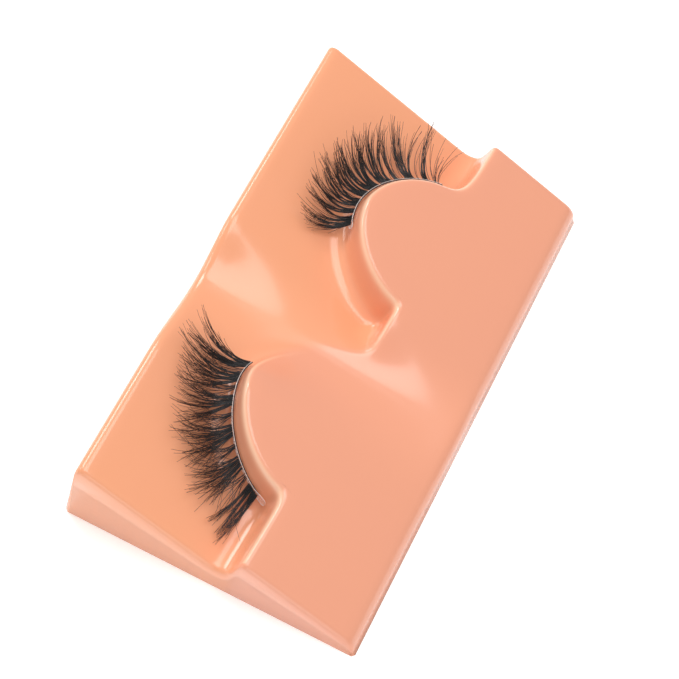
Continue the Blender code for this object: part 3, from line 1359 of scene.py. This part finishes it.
    def ripple(self, along: Socket, luck: Socket) -> Socket:
        """A small wave of each hair, stronger towards its tip.

        Args:
            along: How far along its hair a point is, from 0 to 1.
            luck: A random vector for each hair.

        Returns:
            The shift of each point.
        """
        sheet = self.sheet
        place = self.made("GeometryNodeInputPosition")
        start = sheet.vector("SCALE", luck, scale=self.size("Ripple Range"))
        wave = self.node(
            "ShaderNodeTexNoise",
            {"Vector": sheet.vector("ADD", place, start), "Scale": self.size("Ripple Scale"),
             "Detail": 1.0},
        ).outputs["Color"]
        strength = sheet.product(self.size("Ripple"), sheet.product(along, 2.0))
        return sheet.vector("SCALE", sheet.vector("SUBTRACT", wave, (0.5, 0.5, 0.5)),
                            scale=strength)

    def thickness(self, along: Socket, luck: Socket) -> Socket:
        """The radius of a hair at a point, thinner towards its tip.

        Args:
            along: How far along its hair a point is, from 0 to 1.
            luck: A random number for each hair.

        Returns:
            The radius in metres.
        """
        sheet = self.sheet
        share = sheet.math("MULTIPLY_ADD", luck, self.size("Thickness Range"), 1.0)
        radius = self.node(
            "ShaderNodeMapRange",
            {"Value": sheet.math("POWER", along, self.size("Taper")),
             "To Min": self.size("Root Radius"), "To Max": self.size("Tip Radius")},
        ).outputs["Result"]
        return sheet.product(radius, share)


class ThreadTree(GrowthTree):
    """The root thread beside the film, and a fine thread that winds round the film."""

    CORE_SIDES = 6
    WRAP_SIDES = 4

    def __init__(self) -> None:
        """Build the tree."""
        super().__init__("root_thread", {
            "Core Radius": 0.00009,
            "Core Step": 0.0002,
            "Core Out": -1.6,
            "Core Up": 0.72,
            "Twist Rate": 7000.0,
            "Twist Depth": 0.14,
            "Wrap Radius": 0.000020,
            "Wrap Step": 0.00005,
            "Wrap Pitch": 0.00080,
            "Half Height": 0.00047,
            "Half Depth": 0.00014,
        })
        sheet = self.sheet
        path = self.made("GeometryNodeMeshToCurve", {"Mesh": self.size("Guides")})
        run = self.node("GeometryNodeSplineParameter").outputs["Length"]
        core = self.laid(path, "Core Step", self.size("Core Out"), self.size("Core Up"))
        twist = sheet.math("SINE", sheet.product(run, self.size("Twist Rate")))
        bulge = sheet.product(
            self.size("Core Radius"),
            sheet.math("MULTIPLY_ADD", twist, self.size("Twist Depth"), 1.0),
        )
        turn = sheet.product(sheet.math("DIVIDE", run, self.size("Wrap Pitch")), 2 * math.pi)
        wrap = self.laid(path, "Wrap Step", sheet.math("SINE", turn), sheet.math("COSINE", turn))
        both = sheet.add("GeometryNodeJoinGeometry")
        for tube in (self.tube(core, bulge, self.CORE_SIDES),
                     self.tube(wrap, self.size("Wrap Radius"), self.WRAP_SIDES)):
            sheet.join(tube, both.inputs[0])
        self.end(both.outputs[0])

    def laid(self, path: Socket, step: str, out: Socket, up: Socket) -> Socket:
        """Lay a thread along the film.

        Args:
            path: The film's middle line.
            step: The named size that sets how far apart the thread's points are.
            out: How far out of the middle line it lies, in half depths of the film.
            up: How far above the middle line it lies, in half heights of the film.

        Returns:
            The thread's curve.
        """
        sheet = self.sheet
        line = self.made(
            "GeometryNodeResampleCurve", {"Curve": path, "Length": self.size(step)}, mode="LENGTH"
        )
        outward = sheet.vector("SCALE", self.read("across", "FLOAT_VECTOR"),
                               scale=sheet.product(self.size("Half Depth"), out))
        upward = sheet.vector("SCALE", self.read("up", "FLOAT_VECTOR"),
                              scale=sheet.product(self.size("Half Height"), up))
        return self.made(
            "GeometryNodeSetPosition",
            {"Geometry": line, "Offset": sheet.vector("ADD", outward, upward)},
        )


# Light, floor and camera


@dataclass(frozen=True)
class SoftLight:
    """A square soft light, aimed at the tray."""

    name: str
    place: Place
    size: float
    power: float
    aim: Place = (0.0, 0.0, 0.008)

    def build(self) -> None:
        """Put the light in the scene."""
        data = bpy.data.lights.new(self.name, "AREA")
        data.size = self.size
        data.energy = self.power
        light = bpy.data.objects.new(self.name, data)
        light.location = self.place
        forward = Vector(self.aim) - Vector(self.place)
        light.rotation_euler = forward.to_track_quat("-Z", "Y").to_euler()
        bpy.context.scene.collection.objects.link(light)


@dataclass
class Studio:
    """A white floor, a bright room and soft lights, and the camera at the photograph's angle."""

    eye: Place = (0.036, -0.229, 0.416)
    aim: Place = (0.0, 0.0, 0.008)
    roll: float = 26.5
    lens: float = 125.0
    sensor: float = 36.0
    room: float = 0.41
    floor_half: float = 3.0
    floor_grey: float = 0.95
    floor_glow: float = 0.3
    lights: tuple[SoftLight, ...] = (
        SoftLight("key", (-0.45, 0.30, 0.55), 0.28, 2.1),
        SoftLight("overhead", (0.08, 0.05, 0.66), 0.42, 1.95),
        SoftLight("rim", (-0.55, 0.00, 0.32), 0.18, 0.55),
        SoftLight("fill", (0.30, -0.55, 0.22), 0.40, 0.8),
    )

    def build(self) -> None:
        """Put the floor, the light and the camera in the scene."""
        scene = bpy.context.scene
        scene.view_settings.view_transform = "Standard"
        world = bpy.data.worlds.new("bright_room")
        world.use_nodes = True
        world.node_tree.nodes["Background"].inputs["Color"].default_value = (1, 1, 1, 1)
        world.node_tree.nodes["Background"].inputs["Strength"].default_value = self.room
        scene.world = world
        for light in self.lights:
            light.build()
        self.floor()
        self.camera()

    def floor(self) -> None:
        """Lay the floor under the tray."""
        mesh = bpy.data.meshes.new("floor")
        half = self.floor_half
        corners_of_floor = [(-half, -half, 0), (half, -half, 0), (half, half, 0), (-half, half, 0)]
        mesh.from_pydata(corners_of_floor, [], [(0, 1, 2, 3)])
        material, sheet, shader = new_shader("white_floor")
        sheet.fill(shader, {
            "Base Color": (self.floor_grey, self.floor_grey, self.floor_grey, 1),
            "Roughness": 0.7,
            "Emission Color": (1, 1, 1, 1),
            "Emission Strength": self.floor_glow,
        })
        mesh.materials.append(material)
        floor = bpy.data.objects.new("floor", mesh)
        bpy.context.scene.collection.objects.link(floor)

    def camera(self) -> None:
        """Stand the camera at the photograph's angle, rolled as the photograph is."""
        data = bpy.data.cameras.new("view")
        data.lens = self.lens
        data.sensor_width = self.sensor
        data.clip_start = 0.01
        forward = (Vector(self.aim) - Vector(self.eye)).normalized()
        level = Vector((1, 0, 0))
        level = (level - level.dot(forward) * forward).normalized()
        upright = level.cross(forward)
        turn = math.radians(self.roll)
        right = level * math.cos(turn) + upright * math.sin(turn)
        up = right.cross(forward)
        facing = Matrix((right, up, -forward)).transposed().to_4x4()
        camera = bpy.data.objects.new("view", data)
        camera.matrix_world = Matrix.Translation(self.eye) @ facing
        bpy.context.scene.collection.objects.link(camera)
        bpy.context.scene.camera = camera


LOWER_CLUSTERS = (
    Cluster(0.115, 0.075, 0.0134, -8, 12, 0.0014, 4, 92, 0.00035, 0.3, -12),
    Cluster(0.198, 0.028, 0.0112, -8, 44, 0.0018, 6, 15, 0.0010, 2.0, -10),
    Cluster(0.285, 0.070, 0.0122, -8, 32, 0.0024, 7, 92, 0.00040, 1.7, -14),
    Cluster(0.378, 0.028, 0.0110, -6, 44, 0.0028, 6, 24, 0.0012, 2.2, -16),
    Cluster(0.468, 0.070, 0.0126, -8, 34, 0.0032, 7, 92, 0.00040, 1.7, -18),
    Cluster(0.560, 0.028, 0.0116, -8, 40, 0.0036, 6, 24, 0.0010, 2.0, -20),
    Cluster(0.648, 0.070, 0.0130, -8, 32, 0.0038, 7, 92, 0.00040, 1.2, -22),
    Cluster(0.732, 0.028, 0.0120, -8, 34, 0.0040, 5, 15, 0.0009, 1.4, -24),
    Cluster(0.815, 0.072, 0.0130, -8, 34, 0.0042, 7, 88, 0.00035, 0.7, -28),
    Cluster(0.895, 0.040, 0.0122, -8, 30, 0.0044, 4, 10, 0.0007, 1.0, -32),
    Cluster(0.965, 0.058, 0.0130, -12, 24, 0.0048, 7, 112, 0.00032, 0.5, -36),
)
UPPER_CLUSTERS = (
    Cluster(0.060, 0.080, 0.0106, 2, 30, 0.0036, 5, 80, 0.00028, 0.4, -16),
    Cluster(0.155, 0.040, 0.0112, 8, 22, 0.0046, 3, 40, 0.00025, 0.4, -18),
    Cluster(0.245, 0.080, 0.0110, 10, 28, 0.0052, 5, 84, 0.00028, 0.5, -20),
    Cluster(0.350, 0.060, 0.0116, 10, 22, 0.0056, 4, 56, 0.00028, 0.5, -20),
    Cluster(0.450, 0.080, 0.0120, 10, 22, 0.0062, 5, 80, 0.00028, 0.5, -18),
    Cluster(0.560, 0.070, 0.0126, 8, 22, 0.0066, 5, 74, 0.00028, 0.5, -14),
    Cluster(0.650, 0.030, 0.0122, 8, 10, 0.0068, 2, 20, 0.00025, 0.5, -12),
    Cluster(0.750, 0.060, 0.0132, 8, 14, 0.0070, 4, 66, 0.00025, 0.4, -10),
    Cluster(0.870, 0.030, 0.0136, 14, 10, 0.0066, 2, 20, 0.00025, 0.4, -6),
    Cluster(0.955, 0.040, 0.0136, 20, 18, 0.0060, 5, 10, 0.0004, 0.6, 0),
    Cluster(0.500, 0.900, 0.0126, 8, 10, 0.0062, 24, 48, 0.0005, 1.0, -12),
)


def report(piece: Piece) -> None:
    """Log a finished piece's name and number of triangles."""
    triangles = sum(len(face.vertices) - 2 for face in piece.data.polygons)
    LOG.info("%s: %d triangles", piece.name, triangles)


def build_strip(strip: Strip, hairs: HairTree, threads: ThreadTree) -> None:
    """Build one lash strip: its film, its thread and its hair.

    Args:
        strip: The strip's shape.
        hairs: The tree that grows hair.
        threads: The tree that grows a thread.
    """
    report(strip.band(ClearBand()))
    hair = hairs.grow(strip.guides().to_object("guides"), LashHair().build(),
                      f"{strip.row.value}_hair", seed=strip.seed)
    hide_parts(f"{strip.row.value}_fringe")
    report(hair)
    thread = threads.grow(strip.thread_path().to_object("path"), RootThread().build(),
                          f"{strip.row.value}_root_thread", seed=strip.seed)
    report(thread)


def main() -> None:
    """Build the tray, both strips and the studio on the fixed frame."""
    logging.basicConfig(level=logging.INFO, format="%(message)s")
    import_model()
    tray = Tray()
    report(tray.build())
    hairs, threads = HairTree(), ThreadTree()
    for strip in (
        Strip(Row.LOWER, tray, start=-81, fringe_start=-74, end=11, drop=(0.62, 0.42),
              clusters=LOWER_CLUSTERS, seed=11),
        Strip(Row.UPPER, tray, start=-22, fringe_start=-18, end=71, drop=(0.45, 0.30),
              clusters=UPPER_CLUSTERS, seed=29),
    ):
        build_strip(strip, hairs, threads)
    Studio().build()


if __name__ == "__main__":
    main()
